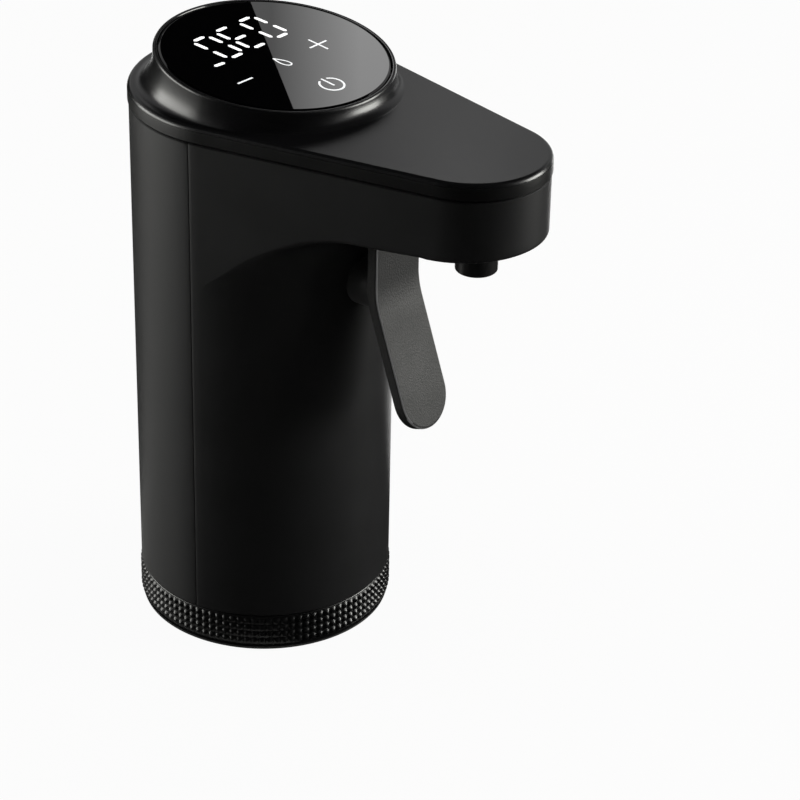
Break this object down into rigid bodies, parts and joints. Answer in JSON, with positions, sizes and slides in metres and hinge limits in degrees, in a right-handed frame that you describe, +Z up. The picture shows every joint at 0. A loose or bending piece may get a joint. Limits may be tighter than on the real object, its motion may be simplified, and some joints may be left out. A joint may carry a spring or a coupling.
{
  "type": "electric wine aerator",
  "caption": "Battery wine aerator and pourer: round body on a bottle socket with knurled ring, tilted touch display, forward head with nozzle and hanging trigger lever.",
  "frame": {"origin": "centre of the bottle socket, in the plane that the base stands on", "axes": "+Z up along the body axis and out of the bottle, +X towards the spout"},
  "size_m": [0.1057, 0.0604, 0.1429],
  "materials": {
    "matte_black_shell": "fine satin grain",
    "matte_black_lid": "fine satin grain",
    "gloss_black_trim": "polished",
    "gloss_black_ring": "semi-gloss, knurled",
    "display_glass": "polished black glass",
    "digit_window": "white light windows in a black face",
    "circuit_board": "solder mask",
    "bright_steel": "satin stainless",
    "seal_rubber": "soft matte",
    "dark_frame": "moulded, unpolished",
    "silicone_hose": "translucent silicone",
    "white_insert": "moulded, food grade",
    "lever_plastic": "visible fine grain, rounded edges",
    "battery_sleeve": "shrink sleeve",
    "valve_body": "moulded"
  },
  "bodies": {
    "housing": {"front_housing": "matte_black_shell", "rear_cover": "matte_black_shell", "top_cover": "matte_black_lid", "display_bezel": "gloss_black_trim", "display_glass": "display_glass", "display_board": "circuit_board", "digit_module": "digit_window", "base_plate": "matte_black_shell", "base_screws": "bright_steel", "neck_socket": "matte_black_shell", "bottle_seal": "seal_rubber", "lip_gasket": "seal_rubber", "chassis_frame": "dark_frame", "riser_pipe": "bright_steel", "riser_elbow": "gloss_black_trim", "wine_hose": "silicone_hose", "nozzle": "gloss_black_trim", "aerator_insert": "white_insert", "trigger_pin": "bright_steel", "button_spring": "bright_steel", "microswitch": "dark_frame", "battery_cell": "battery_sleeve", "pump_motor": "bright_steel", "pump_frame": "dark_frame", "pump_diaphragm": "seal_rubber", "pump_cap": "dark_frame", "air_hose": "silicone_hose", "check_valve": "valve_body", "main_board": "circuit_board", "charging_port": "bright_steel"},
    "ring": {"twist_ring": "gloss_black_ring"},
    "lever": {"trigger_lever": "lever_plastic"},
    "button": {"trigger_button": "seal_rubber"},
    "crank": {"pump_crank": "white_insert"},
    "tube_upper": {"intake_tube_upper": "bright_steel"},
    "tube_middle": {"intake_tube_middle": "bright_steel"},
    "tube_lower": {"intake_tube_lower": "bright_steel", "intake_strainer": "seal_rubber"}
  },
  "joints": [
    {"name": "ring_turn", "type": "hinge", "parent": "housing", "child": "ring", "pos_m": [0, 0, 0.005], "axis": [0, 0, 1], "range_deg": [0, 60]},
    {"name": "trigger_pull", "type": "hinge", "parent": "housing", "child": "lever", "pos_m": [0.0378, 0, 0.117], "axis": [0, 1, 0], "range_deg": [0, 7], "stiffness_Nm_per_rad": 0.1, "springref_deg": -3.44},
    {"name": "button_press", "type": "slide", "parent": "housing", "child": "button", "axis": [-1, 0, 0], "range_m": [0, 0.003], "stiffness_N_per_m": 6, "springref_m": -0.002, "deforming": ["button_spring"]},
    {"name": "crank_spin", "type": "hinge", "parent": "housing", "child": "crank", "pos_m": [-0.01065, -0.0127, 0.05], "axis": [0, 0, 1], "continuous": true},
    {"name": "intake_upper_slide", "type": "slide", "parent": "housing", "child": "tube_upper", "axis": [0, 0, -1], "range_m": [0, 0.076]},
    {"name": "intake_middle_slide", "type": "slide", "parent": "tube_upper", "child": "tube_middle", "axis": [0, 0, -1], "range_m": [0, 0.076]},
    {"name": "intake_lower_slide", "type": "slide", "parent": "tube_middle", "child": "tube_lower", "axis": [0, 0, -1], "range_m": [0, 0.076]}
  ],
  "couplings": [
    {"joint": "button_press", "follows": "trigger_pull", "m_per_rad": 0.024}
  ]
}
